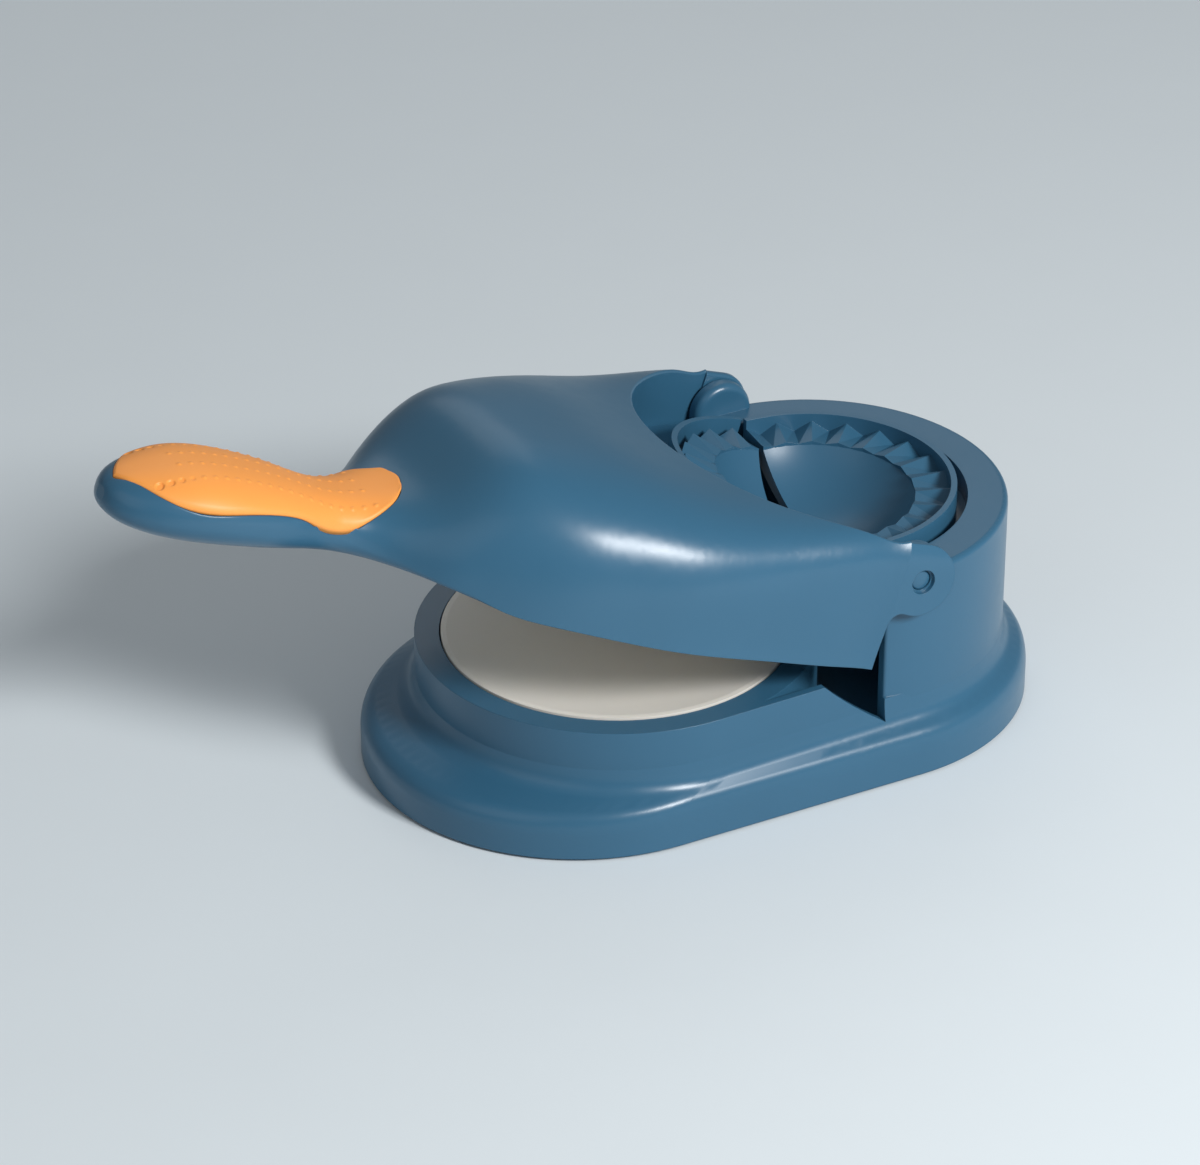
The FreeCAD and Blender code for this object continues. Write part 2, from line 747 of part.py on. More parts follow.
def arm_shell():
    outer = arm_form()
    reach = arm_half_width + overrun

    # What stays solid inside: the wall and deck round the front mould, and the screw posts
    kept = [disc(pocket_radius + pocket_wall, deck_bottom, arm_top)]
    kept += [disc(post_radius, arm_cover_top, arm_top, spot.x, spot.y) for spot in arm_post_places()]
    shell = outer.cut(arm_hollow().cut(join(kept)))

    # Open the pocket, clear the space between the legs and leave room for the tower's lugs
    cuts = [
        disc(pocket_radius, deck_top, arm_top + overrun),
        disc(bowl_back_radius + bowl_hole_gap, deck_bottom - overrun, 0),
        block(-mould_split, overrun, -ear_inner, ear_inner, -arm_reach, arm_reach),
        block(-arm_back, overrun, -ear_inner, ear_inner, -arm_reach, deck_bottom),
    ]
    for side in SIDES.values():
        near, far = sorted((side * front_ring_radius, side * ear_inner))
        cuts.append(block(-arm_back, overrun, near, far, -arm_reach, arm_reach))
    cuts += [screw_hole(spot, UP) for spot in mould_screw_places(-1) + arm_post_places()]
    cuts.append(grip_space(grip_gap).cut(arm_form(grip_depth, grip_depth, 0, grip_tip_stations)))
    shell = shell.cut(cuts)
    mouth = [edge for edge in shell.Edges if round_pocket_mouth(edge)]
    shell = shell.makeFillet(pocket_edge_radius, mouth)
    shell = join([shell, ear(-1), ear(1)])

    bores = [
        rod(pin_radius + pin_fit, -reach, reach),
        rod(pin_mouth_radius, arm_half_width - pin_sink, reach),
        rod(pin_mouth_radius, -reach, pin_sink - arm_half_width),
    ]
    return on_arm(shell.cut(bores))


def arm_cover():
    inside = arm_form(arm_wall + arm_cover_gap, handle_wall + arm_cover_gap, overrun, hollow_tip_stations)
    front = -arm_cover_reach + arm_cover_gap
    reach = ear_inner - arm_cover_gap
    slab = block(front, -arm_back, -reach, reach, arm_cover_bottom, arm_cover_top)
    cuts = [screw_hole(spot, UP) for spot in arm_post_places()]
    cuts += [screw_pocket(spot, UP, overrun) for spot in arm_post_places()]
    cuts += [screw_hole(spot, DOWN) for spot in plate_screw_places()]
    return on_arm(inside.common(slab).cut(cuts))


def hinge_pin(side):
    pin = rod(pin_radius, tower_radius - pin_seat, arm_half_width - pin_sink, hinge_x, hinge_height)
    return pin if side > 0 else pin.mirror(ORIGIN, ACROSS)


def hinge_washer(side):
    near = tower_radius
    far = tower_radius + washer_thickness
    ring = rod(washer_radius, near, far, hinge_x, hinge_height)
    ring = ring.cut(rod(pin_radius + pin_fit, near - overrun, far + overrun, hinge_x, hinge_height))
    return ring if side > 0 else ring.mirror(ORIGIN, ACROSS)


pieces = {
    "base_shell": base_shell(),
    "bottom_cover": bottom_cover(),
    "bottom_cover_screws": group([screw(spot, UP) for spot in base_screw_places()]),
    "non_slip_pad": non_slip_pad(),
    "press_plate": press_plate(),
    "press_plate_screws": group([screw(spot, UP) for spot in dish_screw_places()]),
    "rear_mould": rear_mould(),
    "rear_mould_screws": group([at_hinge(screw(spot, UP)) for spot in mould_screw_places(1)]),
    "arm_shell": arm_shell(),
    "arm_cover": arm_cover(),
    "arm_cover_screws": group([on_arm(screw(spot, UP)) for spot in arm_post_places()]),
    "upper_press_plate": upper_press_plate(),
    "upper_press_plate_screws": group([on_arm(screw(spot, DOWN)) for spot in plate_screw_places()]),
    "front_mould": front_mould(),
    "front_mould_screws": group([on_arm(screw(spot, UP)) for spot in mould_screw_places(-1)]),
    "grip_pad": grip_pad(),
}
for name, side in SIDES.items():
    pieces[name + "_hinge_pin"] = hinge_pin(side)
    pieces[name + "_hinge_washer"] = hinge_washer(side)

for name, shape in pieces.items():
    shape.exportStep("parts/" + name + ".step")
    print(name, len(shape.Solids), "solid", round(shape.Volume / 1000, 2), "cm3", shape.isValid())
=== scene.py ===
import json
import math

import bmesh
import bpy
import numpy as np
from mathutils import Matrix, Vector
from mathutils.bvhtree import BVHTree

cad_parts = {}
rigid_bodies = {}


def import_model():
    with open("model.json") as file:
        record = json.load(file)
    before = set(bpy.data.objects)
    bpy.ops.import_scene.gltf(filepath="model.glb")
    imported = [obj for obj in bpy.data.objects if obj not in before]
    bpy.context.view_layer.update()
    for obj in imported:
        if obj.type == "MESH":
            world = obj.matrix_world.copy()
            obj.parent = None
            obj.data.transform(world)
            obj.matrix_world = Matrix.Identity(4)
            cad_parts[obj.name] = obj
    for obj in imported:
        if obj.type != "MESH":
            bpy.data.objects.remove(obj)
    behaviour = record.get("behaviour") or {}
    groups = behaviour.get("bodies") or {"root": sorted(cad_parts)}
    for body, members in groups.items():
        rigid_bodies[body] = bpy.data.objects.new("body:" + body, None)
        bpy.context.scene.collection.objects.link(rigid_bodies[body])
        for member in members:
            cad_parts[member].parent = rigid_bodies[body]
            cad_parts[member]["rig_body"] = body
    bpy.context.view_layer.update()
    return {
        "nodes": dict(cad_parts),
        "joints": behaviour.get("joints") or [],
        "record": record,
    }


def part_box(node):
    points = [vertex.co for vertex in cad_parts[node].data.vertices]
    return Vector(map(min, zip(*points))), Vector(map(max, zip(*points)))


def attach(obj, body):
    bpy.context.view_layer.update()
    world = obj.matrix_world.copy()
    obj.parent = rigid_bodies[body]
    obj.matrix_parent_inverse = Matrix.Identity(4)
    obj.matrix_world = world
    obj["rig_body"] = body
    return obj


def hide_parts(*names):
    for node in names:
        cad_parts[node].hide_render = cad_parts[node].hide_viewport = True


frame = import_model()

# The hand press in its finished look, in the same frame as the solids: the origin is on the table in
# the middle of the base, +X is the tower's side and -Y is the near side. The scene is in metres. The
# shapes below are worked out in millimetres, in the row's frame or in the arm's own frame, whose origin
# is on the hinge line and whose X axis lies along the lifted arm.

MM = 0.001
NODES = frame["nodes"]
HINGE = Vector(frame["joints"][0]["pos_m"])
ARM_LIFT = math.radians(20)
ARM_TO_ROW = Matrix.Translation(HINGE) @ Matrix.Rotation(ARM_LIFT, 4, "Y")
TO_ROW = {"base": Matrix.Identity(4), "arm": ARM_TO_ROW}
DOWN = Vector((0, 0, -1))
WELD_DISTANCE = 0.001


# Materials: a pattern's scale is in cycles per metre, and gloss runs between two shares of the roughness.

DRIFT_SCALE = 28.0
PATCH_SCALE = 160.0
PATCH_GLOSS_SHARES = (0.88, 1.14)
GRAIN_STRENGTH = 0.35
EDGE_SAMPLES = 4
PLASTIC_IOR = 1.49
SOFT_RADIUS = (0.004, 0.003, 0.002)
SOFT_SCALE = 0.5
CRYSTAL_SCALE = 2600.0
CRYSTAL_GLOSS_SHARES = (0.8, 1.3)
CRYSTAL_DULL_SHARE = 0.8
MARK_SCALE = 5200.0
MARK_STRENGTH = 0.3
MARK_DEPTH = 0.01 * MM
MIX_SHARE = 0
MIX_LOW = 6
MIX_HIGH = 7
MIX_RESULT = 2


def node_tree(name):
    """A new material with its shader, and ways to add a node and to join two sockets."""
    material = bpy.data.materials.new(name)
    material.use_nodes = True
    tree = material.node_tree
    tree.nodes.clear()
    shader = tree.nodes.new("ShaderNodeBsdfPrincipled")
    output = tree.nodes.new("ShaderNodeOutputMaterial")
    tree.links.new(shader.outputs["BSDF"], output.inputs["Surface"])

    def add(kind, settings=None, **sockets):
        node = tree.nodes.new(kind)
        for key, value in (settings or {}).items():
            setattr(node, key, value)
        for key, value in sockets.items():
            socket = node.inputs[key.replace("_", " ")]
            if isinstance(value, bpy.types.NodeSocket):
                tree.links.new(value, socket)
            else:
                socket.default_value = value
        return node

    return material, shader, add, tree.links.new


def between(add, link, share, low, high):
    """A colour that runs from low to high with the share."""
    mix = add("ShaderNodeMix", {"data_type": "RGBA"})
    mix.inputs[MIX_LOW].default_value = (*low, 1.0)
    mix.inputs[MIX_HIGH].default_value = (*high, 1.0)
    link(share, mix.inputs[MIX_SHARE])
    return mix.outputs[MIX_RESULT]


def uneven_gloss(add, pattern, roughness, shares):
    """A roughness that runs between two shares of its value with the pattern."""
    low, high = shares
    gloss = add("ShaderNodeMapRange", Value=pattern, To_Min=roughness * low, To_Max=roughness * high)
    return gloss.outputs["Result"]


def moulded(name, colour, roughness, grain_mm, grain_depth_mm, drift=0.05, edge_mm=0.0, soft=0.0):
    """A moulded plastic or rubber: slow drift in its colour, fine grain, uneven gloss and softened edges."""
    material, shader, add, link = node_tree(name)
    place = add("ShaderNodeTexCoord").outputs["Object"]
    slow = add("ShaderNodeTexNoise", Vector=place, Scale=DRIFT_SCALE, Detail=4.0, Roughness=0.55)
    patch = add("ShaderNodeTexNoise", Vector=place, Scale=PATCH_SCALE, Detail=5.0, Roughness=0.6)
    fine = add("ShaderNodeTexNoise", Vector=place, Scale=1 / (grain_mm * MM), Detail=3.0, Roughness=0.6)

    dark = [channel * (1 - drift) for channel in colour]
    light = [min(channel * (1 + drift), 1.0) for channel in colour]
    link(between(add, link, slow.outputs["Fac"], dark, light), shader.inputs["Base Color"])
    gloss = uneven_gloss(add, patch.outputs["Fac"], roughness, PATCH_GLOSS_SHARES)
    link(gloss, shader.inputs["Roughness"])

    depth = grain_depth_mm * MM
    bump = add("ShaderNodeBump", Height=fine.outputs["Fac"], Strength=GRAIN_STRENGTH, Distance=depth)
    if edge_mm:
        edge = add("ShaderNodeBevel", {"samples": EDGE_SAMPLES}, Radius=edge_mm * MM)
        link(edge.outputs["Normal"], bump.inputs["Normal"])
    link(bump.outputs["Normal"], shader.inputs["Normal"])
    shader.inputs["IOR"].default_value = PLASTIC_IOR
    shader.inputs["Subsurface Weight"].default_value = soft
    shader.inputs["Subsurface Radius"].default_value = SOFT_RADIUS
    shader.inputs["Subsurface Scale"].default_value = SOFT_SCALE
    return material


def plated(name, colour, roughness):
    """Zinc-plated steel: cloudy crystals in its colour and gloss, with fine marks."""
    material, shader, add, link = node_tree(name)
    place = add("ShaderNodeTexCoord").outputs["Object"]
    cloud = add("ShaderNodeTexVoronoi", Vector=place, Scale=CRYSTAL_SCALE).outputs["Distance"]
    mark = add("ShaderNodeTexNoise", Vector=place, Scale=MARK_SCALE, Detail=2.0).outputs["Fac"]
    dull = [channel * CRYSTAL_DULL_SHARE for channel in colour]
    link(between(add, link, cloud, dull, colour), shader.inputs["Base Color"])
    link(uneven_gloss(add, cloud, roughness, CRYSTAL_GLOSS_SHARES), shader.inputs["Roughness"])
    bump = add("ShaderNodeBump", Height=mark, Strength=MARK_STRENGTH, Distance=MARK_DEPTH)
    link(bump.outputs["Normal"], shader.inputs["Normal"])
    shader.inputs["Metallic"].default_value = 1.0
    return material


BLUE = (0.033, 0.120, 0.205)
DARK_BLUE = (0.024, 0.088, 0.152)
WARM_WHITE = (0.80, 0.76, 0.69)
NYLON = (0.74, 0.72, 0.66)
ORANGE = (0.98, 0.37, 0.075)
BLACK = (0.035, 0.036, 0.04)
ZINC = (0.62, 0.63, 0.64)
FINISHES = {
    "blue_plastic": dict(colour=BLUE, roughness=0.3, grain_mm=0.35, grain_depth_mm=0.008, edge_mm=0.3),
    "mould_plastic": dict(colour=BLUE, roughness=0.34, grain_mm=0.35, grain_depth_mm=0.008, edge_mm=0.15),
    "pin_plastic": dict(colour=BLUE, roughness=0.32, grain_mm=0.35, grain_depth_mm=0.008),
    "dark_plastic": dict(colour=DARK_BLUE, roughness=0.5, grain_mm=0.5, grain_depth_mm=0.02, edge_mm=0.3),
    "washer_plastic": dict(colour=NYLON, roughness=0.45, grain_mm=0.4, grain_depth_mm=0.01, soft=0.1),
    "white_plastic": dict(
        colour=WARM_WHITE, roughness=0.4, grain_mm=0.3, grain_depth_mm=0.006, drift=0.02,
        edge_mm=0.2, soft=0.08,
    ),
    "pad_rubber": dict(colour=BLACK, roughness=0.8, grain_mm=0.7, grain_depth_mm=0.06),
    "grip_rubber": dict(
        colour=ORANGE, roughness=0.46, grain_mm=0.25, grain_depth_mm=0.012, drift=0.03, soft=0.05,
    ),
}
MATERIALS = {slot: moulded(slot, **finish) for slot, finish in FINISHES.items()}
MATERIALS["screw_steel"] = plated("screw_steel", ZINC, roughness=0.3)

for part in frame["record"]["subparts"]:
    mesh = NODES[part["node"]].data
    mesh.materials.clear()
    mesh.materials.append(MATERIALS[part["material_slot"]])


# Meshes

def piece(name, points, faces, slot, *nodes):
    """A smooth piece, from millimetres in its body's own frame, that stands for the named solids."""
    body = NODES[nodes[0]]["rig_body"]
    mesh = bpy.data.meshes.new(name)
    mesh.from_pydata([TO_ROW[body] @ (Vector(point) * MM) for point in points], [], faces)
    mesh.shade_smooth()
    mesh.materials.append(MATERIALS[slot])
    obj = bpy.data.objects.new(name, mesh)
    bpy.context.scene.collection.objects.link(obj)
    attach(obj, body)
    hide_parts(*nodes)


def ring_faces(first, second, count):
    """Quads between two closed rings of the same count, given by their first indices."""
    steps = [(step, (step + 1) % count) for step in range(count)]
    return [(first + a, first + b, second + b, second + a) for a, b in steps]


def turned(profile, count):
    """A closed turned form about Z from (radius, height) pairs; the first and last lie on the axis."""
    turns = np.arange(count) * 2 * math.pi / count
    points = [(0.0, 0.0, profile[0][1])]
    for radius, height in profile[1:-1]:
        points += [(radius * math.cos(turn), radius * math.sin(turn), height) for turn in turns]
    points.append((0.0, 0.0, profile[-1][1]))
    rings = len(profile) - 2
    last = len(points) - 1
    faces = [(0, 1 + step, 1 + (step + 1) % count) for step in range(count)]
    for ring in range(rings - 1):
        faces += ring_faces(1 + (ring + 1) * count, 1 + ring * count, count)
    start = 1 + (rings - 1) * count
    faces += [(last, start + (step + 1) % count, start + step) for step in range(count)]
    return np.array(points), faces


def own_frame(node):
    """A copy of a node's mesh in millimetres, in its body's own frame, with its corners joined."""
    work = bmesh.new()
    work.from_mesh(NODES[node].data)
    to_own = Matrix.Scale(1 / MM, 4) @ TO_ROW[NODES[node]["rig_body"]].inverted()
    bmesh.ops.transform(work, matrix=to_own, verts=work.verts)
    bmesh.ops.remove_doubles(work, verts=work.verts, dist=WELD_DISTANCE)
    return work


def solids(node):
    """The points of each separate solid of a node, in millimetres, in its body's own frame."""
    work = own_frame(node)
    found = []
    for seed in work.verts:
        if seed.tag:
            continue
        seed.tag = True
        reached = [seed]
        for vert in reached:
            ends = [edge.other_vert(vert) for edge in vert.link_edges]
            fresh = [end for end in ends if not end.tag]
            for end in fresh:
                end.tag = True
            reached += fresh
        found.append(np.array([vert.co for vert in reached]))
    work.free()
    return found


# Grip inlay: it keeps the crown and the outline of its solid, with a rounded edge, rows of raised dots
# and the sunk dots behind the tip. Shares of a dot are shares of its radius.

GRIP_STATIONS = 420
GRIP_COLUMNS = 180
GRIP_FLOOR_COLUMNS = 13
GRIP_THICKNESS = 2.0
GRIP_EDGE_RADIUS = 0.6
RAY_MARGIN = 1.0
WIDTH_HALVINGS = 18
OUTLINE_SPREAD = 1.2
CROWN_ALONG = 16
CROWN_ACROSS = 6
CROWN_STEP = 4
CROWN_RAYS = 30
CROWN_RAY_REACH_SHARE = 0.985
DOT_SPACING = 3.05
DOT_RADIUS = 0.78
DOT_RISE = 0.26
DOT_ROUNDNESS = 1.5
INNER_ROW = 3.0
INNER_FIRST = -186.0
INNER_COUNT = 18
OUTER_ROW = 9.3
OUTER_FIRST = -182.0
OUTER_COUNT = 17
SUNK_FIRST = -193.0
SUNK_SPACING = 2.7
SUNK_RADII = (1.0, 0.9, 0.75, 0.6)
SUNK_DEPTHS = (0.5, 0.42, 0.32, 0.2)
SUNK_RIM_SHARE = 1.15
SUNK_WALL_SHARE = 0.4


def grip_half_width(tree, top, reach, x):
    """Half the pad's width at one place along it: the furthest ray that still meets its solid."""
    inside, outside = 0.0, reach + RAY_MARGIN
    for _ in range(WIDTH_HALVINGS):
        y = (inside + outside) / 2
        if tree.ray_cast(Vector((x, y, top)), DOWN)[0]:
            inside = y
        else:
            outside = y
    return inside


def smoothed(values, places, spread):
    """The values averaged over their neighbours within about the given spread."""
    weights = np.exp(-0.5 * ((places[:, None] - places) / spread) ** 2)
    weights *= np.gradient(places)
    return weights @ values / weights.sum(1)


def grip_crown(tree, top, along, half_width):
    """The pad's top by place along and share across, fitted to rays cast at its solid."""
    middle, half = (along[0] + along[-1]) / 2, (along[-1] - along[0]) / 2

    def terms(x, share):
        lengthwise = np.polynomial.chebyshev.chebvander((x - middle) / half, CROWN_ALONG)
        crosswise = np.polynomial.polynomial.polyvander(share ** 2, CROWN_ACROSS)
        return (lengthwise[..., :, None] * crosswise[..., None, :]).reshape(*np.shape(x), -1)

    spots = []
    for x, width in zip(along[::CROWN_STEP], half_width[::CROWN_STEP]):
        for share in np.linspace(0, CROWN_RAY_REACH_SHARE, CROWN_RAYS):
            hit = tree.ray_cast(Vector((x, width * share, top)), DOWN)[0]
            if hit:
                spots.append((x, share, hit.z))
    x, share, z = np.array(spots).T
    weights = np.linalg.lstsq(terms(x, share), z, rcond=None)[0]
    return lambda x, share: terms(x, share) @ weights


def raised_row(first, across, count):
    return [(first + step * DOT_SPACING, across, DOT_RADIUS, DOT_RISE) for step in range(count)]


def dot_rows():
    """The place, radius and height of each dot on one side of the pad; a sunk dot's height is negative."""
    dots = raised_row(INNER_FIRST, INNER_ROW, INNER_COUNT)
    dots += raised_row(OUTER_FIRST, OUTER_ROW, OUTER_COUNT)
    for step, (radius, depth) in enumerate(zip(SUNK_RADII, SUNK_DEPTHS)):
        dots.append((SUNK_FIRST + step * SUNK_SPACING, OUTER_ROW, radius, -depth))
    return dots


def eased(share):
    """The share held between 0 and 1, with a soft start and end."""
    held = np.clip(share, 0, 1)
    return held * held * (3 - 2 * held)


def dot_relief(x, y):
    """How far the dots lift or sink the pad's surface at each place."""
    relief = np.zeros_like(x)
    for along, across, radius, height in dot_rows():
        off = np.hypot(x - along, np.abs(y) - across) / radius
        if height > 0:
            shape = np.clip(1 - off ** 2, 0, None) ** DOT_ROUNDNESS
        else:
            shape = eased((SUNK_RIM_SHARE - off) / SUNK_WALL_SHARE)
        relief += height * shape
    return relief


def edge_drop(x, y, edge_x, edge_y):
    """How far the rounded edge falls below the crown, by the distance to the outline."""
    nearest = np.full(x.shape, np.inf)
    for near_x, near_y in zip(edge_x, edge_y):
        np.minimum(nearest, np.hypot(x - near_x, np.abs(y) - near_y), out=nearest)
    inward = np.clip(GRIP_EDGE_RADIUS - nearest, 0, GRIP_EDGE_RADIUS)
    return GRIP_EDGE_RADIUS - np.sqrt(GRIP_EDGE_RADIUS ** 2 - inward ** 2)


def grip_top(along, half_width, crown):
    """The pad's top as a grid of points, with its dots and its rounded edge."""
    across = np.sin(np.linspace(-1, 1, GRIP_COLUMNS) * math.pi / 2)
    x = np.repeat(along[:, None], GRIP_COLUMNS, 1)
    share = np.repeat(across[None, :], GRIP_STATIONS, 0)
    y = half_width[:, None] * share
    surface = np.stack([x, y, crown(x, share)], -1)
    normal = np.cross(np.gradient(surface, axis=0), np.gradient(surface, axis=1))
    normal /= np.linalg.norm(normal, axis=-1, keepdims=True)
    surface += normal * dot_relief(x, y)[..., None]
    surface[..., 2] -= edge_drop(x, y, along, half_width)
    return surface


def grip_underside(along, half_width, crown):
    """The pad's underside as a grid of points, one thickness below the crown."""
    x = np.repeat(along[:, None], GRIP_FLOOR_COLUMNS, 1)
    share = np.repeat(np.linspace(-1, 1, GRIP_FLOOR_COLUMNS)[None, :], GRIP_STATIONS, 0)
    return np.stack([x, half_width[:, None] * share, crown(x, share) - GRIP_THICKNESS], -1)


def grip_faces():
    """The faces of the pad's top, underside, sides and two ends, with the top's points first."""
    start = GRIP_STATIONS * GRIP_COLUMNS

    def on_top(row, column):
        return row * GRIP_COLUMNS + column % GRIP_COLUMNS

    def below(row, column):
        return start + row * GRIP_FLOOR_COLUMNS + column % GRIP_FLOOR_COLUMNS

    faces = []
    for row in range(GRIP_STATIONS - 1):
        for column in range(GRIP_COLUMNS - 1):
            faces.append((on_top(row, column), on_top(row + 1, column),
                          on_top(row + 1, column + 1), on_top(row, column + 1)))
        for column in range(GRIP_FLOOR_COLUMNS - 1):
            faces.append((below(row, column), below(row, column + 1),
                          below(row + 1, column + 1), below(row + 1, column)))
        faces.append((on_top(row, 0), below(row, 0), below(row + 1, 0), on_top(row + 1, 0)))
        faces.append((on_top(row, -1), on_top(row + 1, -1), below(row + 1, -1), below(row, -1)))
    for row, way in ((0, 1), (GRIP_STATIONS - 1, -1)):
        loop = [on_top(row, column) for column in range(GRIP_COLUMNS)]
        loop += [below(row, column) for column in reversed(range(GRIP_FLOOR_COLUMNS))]
        faces.append(tuple(loop[::way]))
    return faces


def grip_inlay():
    work = own_frame("grip_pad")
    tree = BVHTree.FromBMesh(work)
    corners = np.array([vert.co for vert in work.verts])
    work.free()
    low, high = Vector(corners.min(0)), Vector(corners.max(0))
    top = high.z + RAY_MARGIN
    turn = np.linspace(0, math.pi, GRIP_STATIONS + 2)[1:-1]
    along = (low.x + high.x) / 2 - (high.x - low.x) / 2 * np.cos(turn)
    solid_width = np.array([grip_half_width(tree, top, high.y, x) for x in along])
    crown = grip_crown(tree, top, along, solid_width)
    half_width = np.minimum(smoothed(solid_width, along, OUTLINE_SPREAD), solid_width)

    surface = grip_top(along, half_width, crown).reshape(-1, 3)
    underside = grip_underside(along, half_width, crown).reshape(-1, 3)
    points = np.concatenate([surface, underside])
    piece("grip_inlay", points, grip_faces(), "grip_rubber", "grip_pad")


# Rubber sheet under the base, with a rounded edge

SHEET_EDGE_RADIUS = 0.5
SHEET_EDGE_STEPS = 5
SHEET_TURNS = 128


def sheet_profile(low, high):
    """The sheet's edge from below to above, as pairs of inset and height."""
    bends = np.linspace(0, math.pi / 2, SHEET_EDGE_STEPS)
    insets = [SHEET_EDGE_RADIUS * (1 - math.sin(bend)) for bend in bends]
    heights = [low + SHEET_EDGE_RADIUS * (1 - math.cos(bend)) for bend in bends]
    lower = list(zip(insets, heights))
    return lower + [(inset, low + high - height) for inset, height in reversed(lower)]


def rubber_sheet():
    low, high = [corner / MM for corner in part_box("non_slip_pad")]
    end_radius = high.y
    half_span = high.x - end_radius
    turns = (np.arange(SHEET_TURNS) + 0.5) * 2 * math.pi / SHEET_TURNS
    profile = sheet_profile(low.z, high.z)
    points = []
    for inset, height in profile:
        radius = end_radius - inset
        for turn in turns:
            middle = math.copysign(half_span, math.cos(turn))
            points.append((middle + radius * math.cos(turn), radius * math.sin(turn), height))
    faces = [tuple(reversed(range(SHEET_TURNS)))]
    for ring in range(len(profile) - 1):
        faces += ring_faces(ring * SHEET_TURNS, (ring + 1) * SHEET_TURNS, SHEET_TURNS)
    faces.append(tuple(range(len(points) - SHEET_TURNS, len(points))))
    piece("rubber_sheet", points, faces, "pad_rubber", "non_slip_pad")


# Screws: pan heads with a cross recess

SCREW_TURNS = 56
HEAD_RINGS = 20
HEAD_SIDE = 0.6
HEAD_EDGE = 0.12
HEAD_ROUNDNESS = 2.4
SHANK_POINT = 0.6
RIM_TOLERANCE = 0.05
RECESS_REACH = 1.45
RECESS_HALF_WIDTH = 0.36
RECESS_DEPTH = 1.0
RECESS_SLOPE = 0.12
RECESS_TAPER_SHARE = 0.55


def recess_depth(points):
    """How deep the cross recess is at each place on a screw's head."""
    across = np.abs(points[:, :2])
    wide, narrow = across.max(1), across.min(1)
    inside = np.minimum(RECESS_REACH - wide, RECESS_HALF_WIDTH - narrow)
    wall = np.clip(inside / RECESS_SLOPE + 0.5, 0, 1)
    return RECESS_DEPTH * wall * (1 - RECESS_TAPER_SHARE * np.clip(wide / RECESS_REACH, 0, 1))


def screw_form(head_radius, head_height, shank_radius, shank_length):
    """A screw about Z with its head's seat at 0 and its head above it."""
    rounds = np.linspace(0, 1, HEAD_RINGS)
    crown = head_radius - HEAD_EDGE
    fall = head_height - HEAD_SIDE
    profile = [(crown * share, head_height - fall * share ** HEAD_ROUNDNESS) for share in rounds]
    profile += [(head_radius, HEAD_SIDE - HEAD_EDGE), (head_radius, HEAD_EDGE), (crown, 0.0)]
    profile += [(shank_radius, 0.0), (shank_radius, SHANK_POINT - shank_length)]
    profile += [(shank_radius - SHANK_POINT, -shank_length), (0.0, -shank_length)]
    points, faces = turned(profile, SCREW_TURNS)
    on_head = points[:, 2] > HEAD_SIDE - HEAD_EDGE / 2
    points[on_head, 2] -= recess_depth(points[on_head])
    return points, faces


def placed_screw(solid):
    """One screw's points and faces, with the sizes, the place and the way of its solid."""
    low, high = solid.min(0), solid.max(0)
    middle = (low + high) / 2
    out = np.hypot(solid[:, 0] - middle[0], solid[:, 1] - middle[1])
    head_radius = out.max()
    on_rim = solid[out > head_radius - RIM_TOLERANCE, 2]
    head_height = np.ptp(on_rim)
    shank_radius = out[out < head_radius - RIM_TOLERANCE].max()
    shank_length = high[2] - low[2] - head_height
    up = 1.0 if on_rim.mean() > middle[2] else -1.0
    seat = on_rim.min() if up > 0 else on_rim.max()
    points, faces = screw_form(head_radius, head_height, shank_radius, shank_length)
    return points * (1.0, up, up) + (middle[0], middle[1], seat), faces


def screws(node):
    """The screws of one node, each in the place of its solid."""
    points, faces = [], []
    for solid in solids(node):
        start = len(points)
        screw_points, screw_faces = placed_screw(solid)
        points += [tuple(point) for point in screw_points]
        faces += [tuple(start + index for index in face) for face in screw_faces]
    piece(node.replace("_screws", "_fasteners"), points, faces, "screw_steel", node)


# Hinge pins with rounded ends

PIN_TURNS = 64
PIN_EDGE_RADIUS = 0.6
PIN_EDGE_STEPS = 6
PIN_CROWN = 0.15
PIN_CROWN_SHARES = (0.0, 0.35, 0.7)


def hinge_pin(node):
    low, high = [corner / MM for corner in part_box(node)]
    middle = (low + high) / 2
    radius = (high.z - low.z) / 2
    half_length = (high.y - low.y) / 2
    bends = np.linspace(0, math.pi / 2, PIN_EDGE_STEPS)
    flat = radius - PIN_EDGE_RADIUS
    shoulder = half_length - PIN_CROWN - PIN_EDGE_RADIUS
    end = [(flat * share, half_length - PIN_CROWN * share ** 2) for share in PIN_CROWN_SHARES]
    end += [(flat + PIN_EDGE_RADIUS * math.sin(bend), shoulder + PIN_EDGE_RADIUS * math.cos(bend))
            for bend in bends]
    profile = end + [(out, -height) for out, height in reversed(end)]
    points, faces = turned(profile, PIN_TURNS)
    placed = [(middle.x + x, middle.y + z, middle.z - y) for x, y, z in points]
    piece(node.replace("pin", "dowel"), placed, faces, "pin_plastic", node)


grip_inlay()
rubber_sheet()
for node in ("bottom_cover_screws", "press_plate_screws", "rear_mould_screws", "arm_cover_screws",
             "upper_press_plate_screws", "front_mould_screws"):
    screws(node)
for node in ("left_hinge_pin", "right_hinge_pin"):
    hinge_pin(node)


# Floor, light and camera, in metres and watts

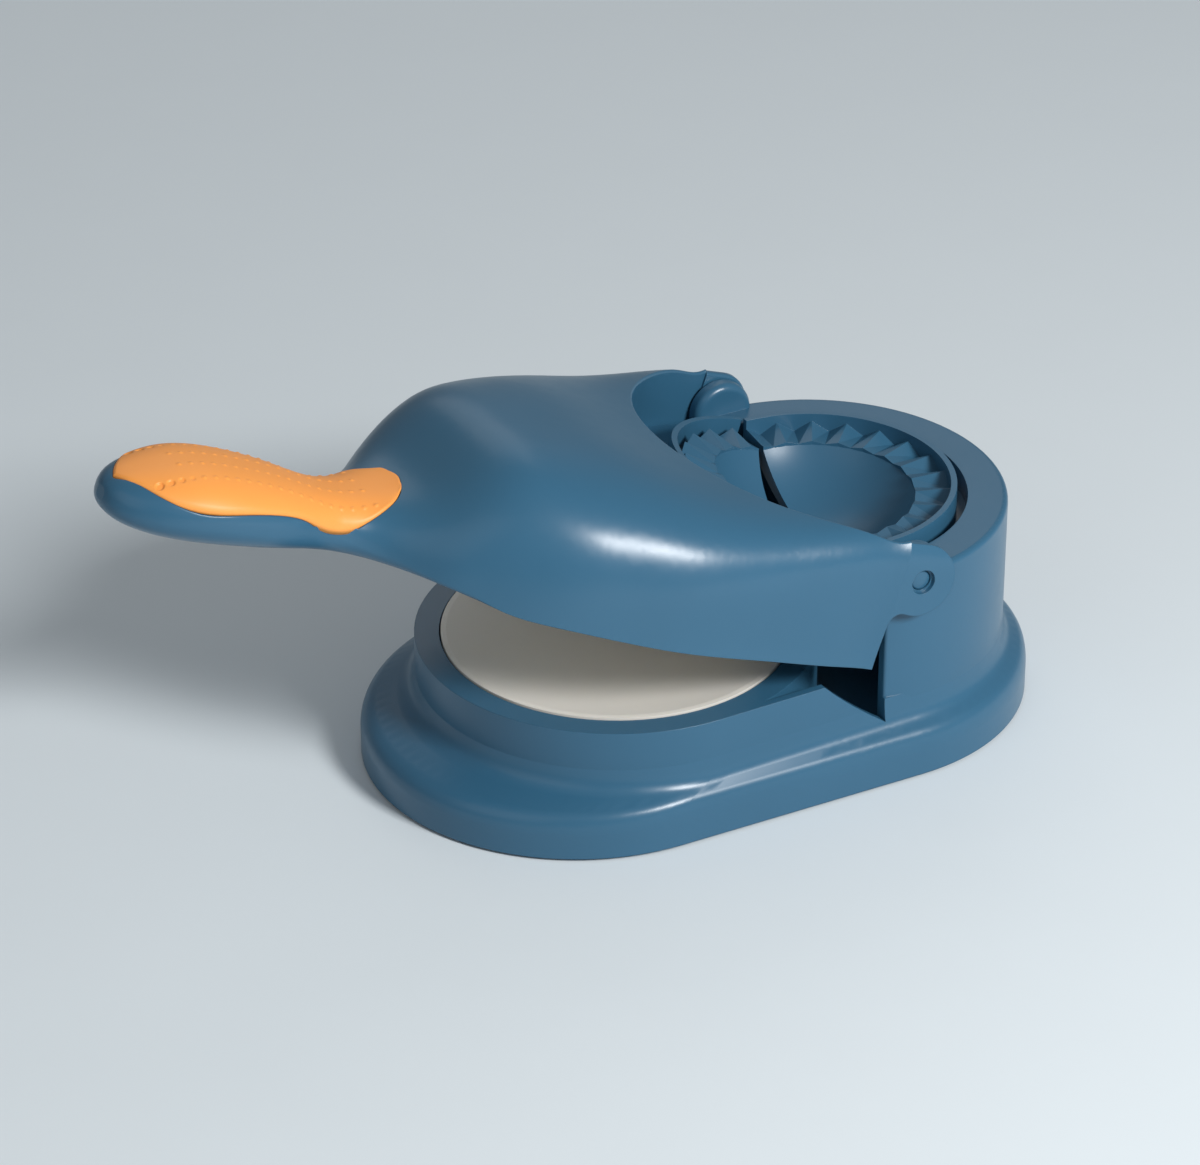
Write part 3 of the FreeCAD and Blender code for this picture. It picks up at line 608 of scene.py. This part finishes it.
STAGE_MIDDLE = Vector((-0.02, 0, 0.04))
FLOOR_HALF = 4.0
FLOOR_FINISH = dict(
    colour=(0.74, 0.80, 0.83), roughness=0.85, grain_mm=2.0, grain_depth_mm=0.005, drift=0.01,
)
LIGHTS = (
    dict(name="key", way=(0.25, -0.78, 0.57), distance=1.3, size=0.32, power=16),
    dict(name="fill", way=(-0.8, -0.3, 0.6), distance=1.6, size=1.2, power=2),
    dict(name="back", way=(0.3, 0.8, 0.7), distance=1.6, size=1.0, power=2),
)
SKY_COLOUR = (0.90, 0.95, 1.0, 1.0)
SKY_STRENGTH = 0.24
CAMERA_TARGET = Vector((-0.0286, 0, 0.04624))
CAMERA_AZIMUTH = math.radians(-28.30)
CAMERA_ELEVATION = math.radians(30.08)
CAMERA_REACH = 1.2724
LENS_MM = 150
SENSOR_MM = 36


def area_light(name, way, distance, size, power):
    """A square soft light that looks at the middle of the press."""
    lamp = bpy.data.lights.new(name, "AREA")
    lamp.size = size
    lamp.energy = power
    holder = bpy.data.objects.new(name, lamp)
    bpy.context.scene.collection.objects.link(holder)
    way = Vector(way).normalized()
    holder.location = STAGE_MIDDLE + way * distance
    holder.rotation_euler = way.to_track_quat("Z", "Y").to_euler()


def studio_floor():
    mesh = bpy.data.meshes.new("floor")
    corners = [(-1, -1), (1, -1), (1, 1), (-1, 1)]
    mesh.from_pydata([(x * FLOOR_HALF, y * FLOOR_HALF, 0) for x, y in corners], [], [(0, 1, 2, 3)])
    mesh.materials.append(moulded("floor_paint", **FLOOR_FINISH))
    floor = bpy.data.objects.new("floor", mesh)
    bpy.context.scene.collection.objects.link(floor)


def studio_sky():
    world = bpy.data.worlds.new("studio")
    world.use_nodes = True
    background = world.node_tree.nodes["Background"]
    background.inputs["Color"].default_value = SKY_COLOUR
    background.inputs["Strength"].default_value = SKY_STRENGTH
    bpy.context.scene.world = world
    bpy.context.scene.view_settings.view_transform = "Standard"


def studio_camera():
    data = bpy.data.cameras.new("camera")
    data.lens = LENS_MM
    data.sensor_width = SENSOR_MM
    camera = bpy.data.objects.new("camera", data)
    bpy.context.scene.collection.objects.link(camera)
    level = math.cos(CAMERA_ELEVATION)
    back = Vector((
        math.sin(CAMERA_AZIMUTH) * level,
        -math.cos(CAMERA_AZIMUTH) * level,
        math.sin(CAMERA_ELEVATION),
    ))
    camera.location = CAMERA_TARGET + back * CAMERA_REACH
    camera.rotation_euler = back.to_track_quat("Z", "Y").to_euler()
    bpy.context.scene.camera = camera


studio_floor()
for light in LIGHTS:
    area_light(**light)
studio_sky()
studio_camera()
